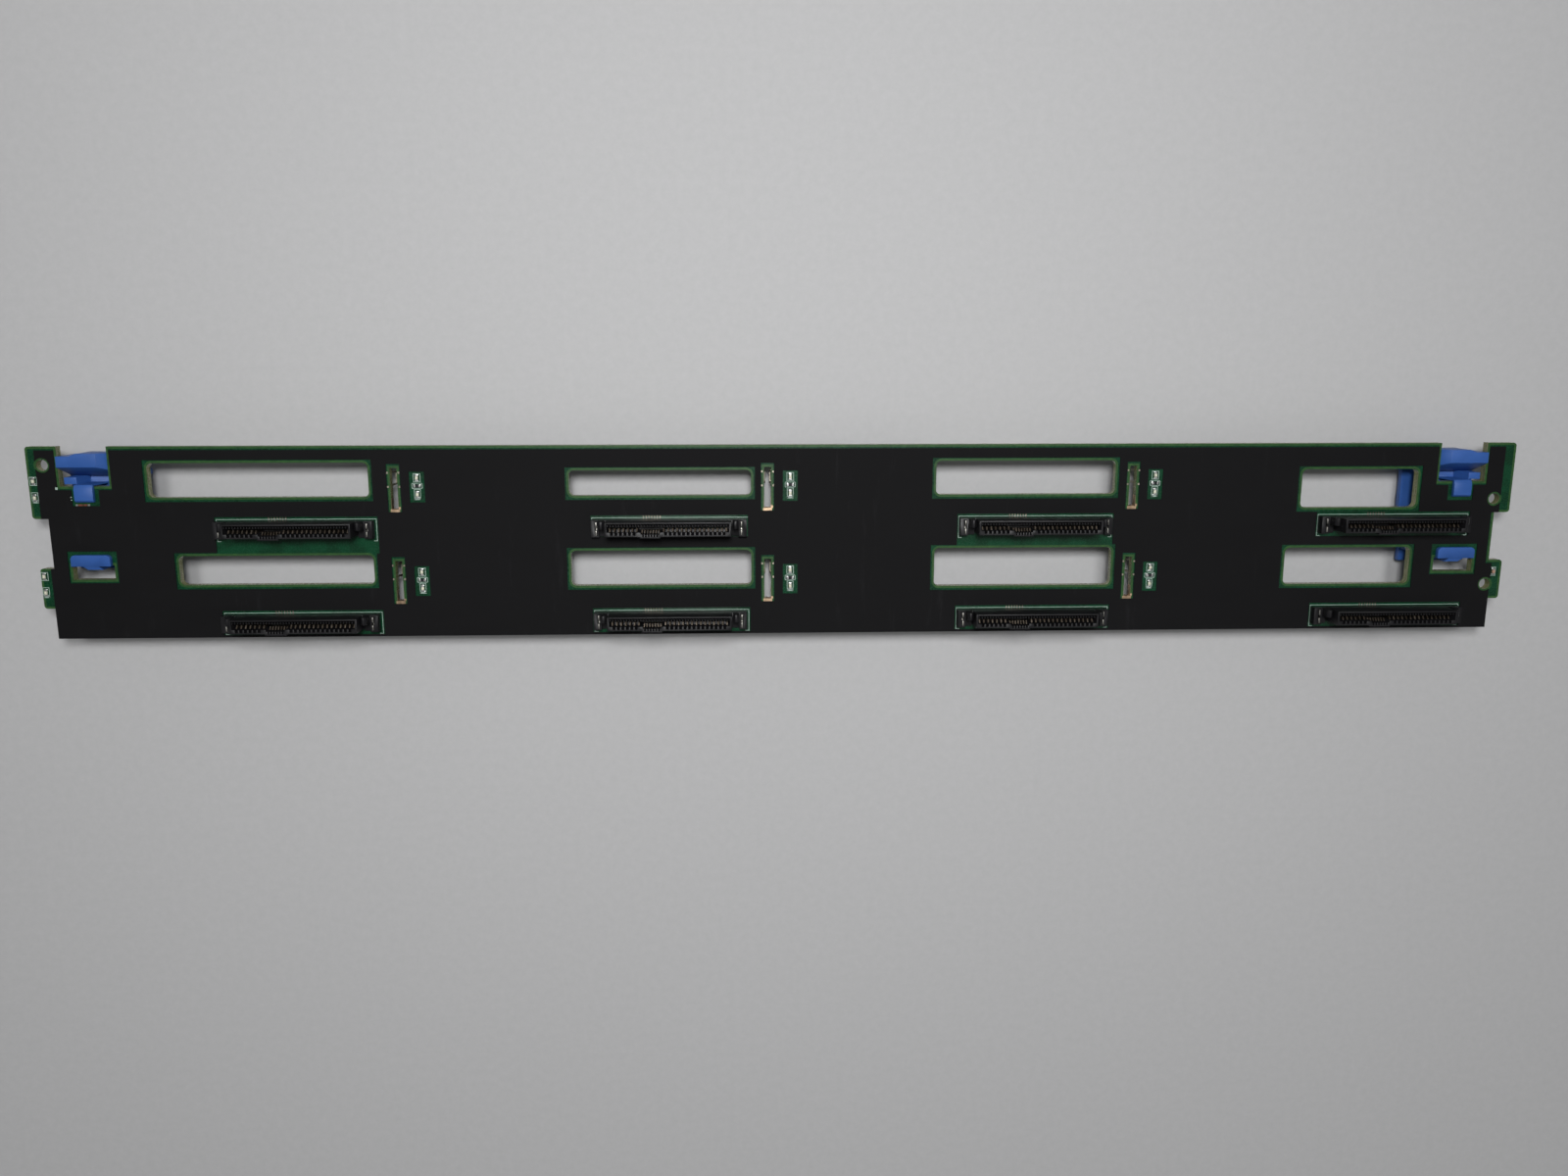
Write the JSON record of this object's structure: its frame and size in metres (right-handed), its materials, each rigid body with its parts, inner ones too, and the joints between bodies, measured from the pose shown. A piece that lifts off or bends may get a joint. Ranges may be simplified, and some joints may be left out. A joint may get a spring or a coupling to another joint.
{
  "type": "drive backplane board",
  "caption": "Long server drive backplane board with rows of upright drive sockets beside airflow windows, a black insulating film and blue snap-in latches at its ends.",
  "frame": {"origin": "middle of the footprint, on the surface that the latch feet stand on", "axes": "+Z out of the drive side, +Y towards the notched edge, +X to the right seen from the drive side with the notched edge at the top"},
  "size_m": [0.428, 0.0554, 0.0215],
  "materials": {
    "board": "solder mask",
    "film": "matt film",
    "socket": "moulded",
    "contact": "gold plated",
    "tinned_metal": "tinned",
    "latch": "moulded",
    "light": "clear resin",
    "resistor": "glazed",
    "ceramic": "ceramic",
    "shell": "plated",
    "header": "moulded",
    "chip": "moulded"
  },
  "bodies": {
    "root": {"activity_lights": "light", "can_capacitors": "shell", "ceramic_capacitors": "ceramic", "chip_leads": "tinned_metal", "circuit_board": "board", "controller_chip": "chip", "crystal": "shell", "drive_socket_1": "socket", "drive_socket_2": "socket", "drive_socket_3": "socket", "drive_socket_4": "socket", "drive_socket_5": "socket", "drive_socket_6": "socket", "drive_socket_7": "socket", "drive_socket_8": "socket", "edge_capacitor": "ceramic", "ground_clip_1": "tinned_metal", "ground_clip_2": "tinned_metal", "ground_clip_3": "tinned_metal", "ground_clip_4": "tinned_metal", "ground_clip_5": "tinned_metal", "ground_clip_6": "tinned_metal", "insulator_film": "film", "left_latch": "latch", "light_resistors": "resistor", "lower_cable_shell": "shell", "lower_cable_tongue": "socket", "power_coils": "chip", "power_header": "header", "power_pins": "contact", "right_latch": "latch", "signal_header": "socket", "signal_pins": "contact", "socket_contacts_1": "contact", "socket_contacts_2": "contact", "socket_contacts_3": "contact", "socket_contacts_4": "contact", "socket_contacts_5": "contact", "socket_contacts_6": "contact", "socket_contacts_7": "contact", "socket_contacts_8": "contact", "socket_holdowns_1": "tinned_metal", "socket_holdowns_2": "tinned_metal", "socket_holdowns_3": "tinned_metal", "socket_holdowns_4": "tinned_metal", "socket_holdowns_5": "tinned_metal", "socket_holdowns_6": "tinned_metal", "socket_holdowns_7": "tinned_metal", "socket_holdowns_8": "tinned_metal", "status_lights": "light", "upper_cable_shell": "shell", "upper_cable_tongue": "socket"}
  },
  "joints": []
}
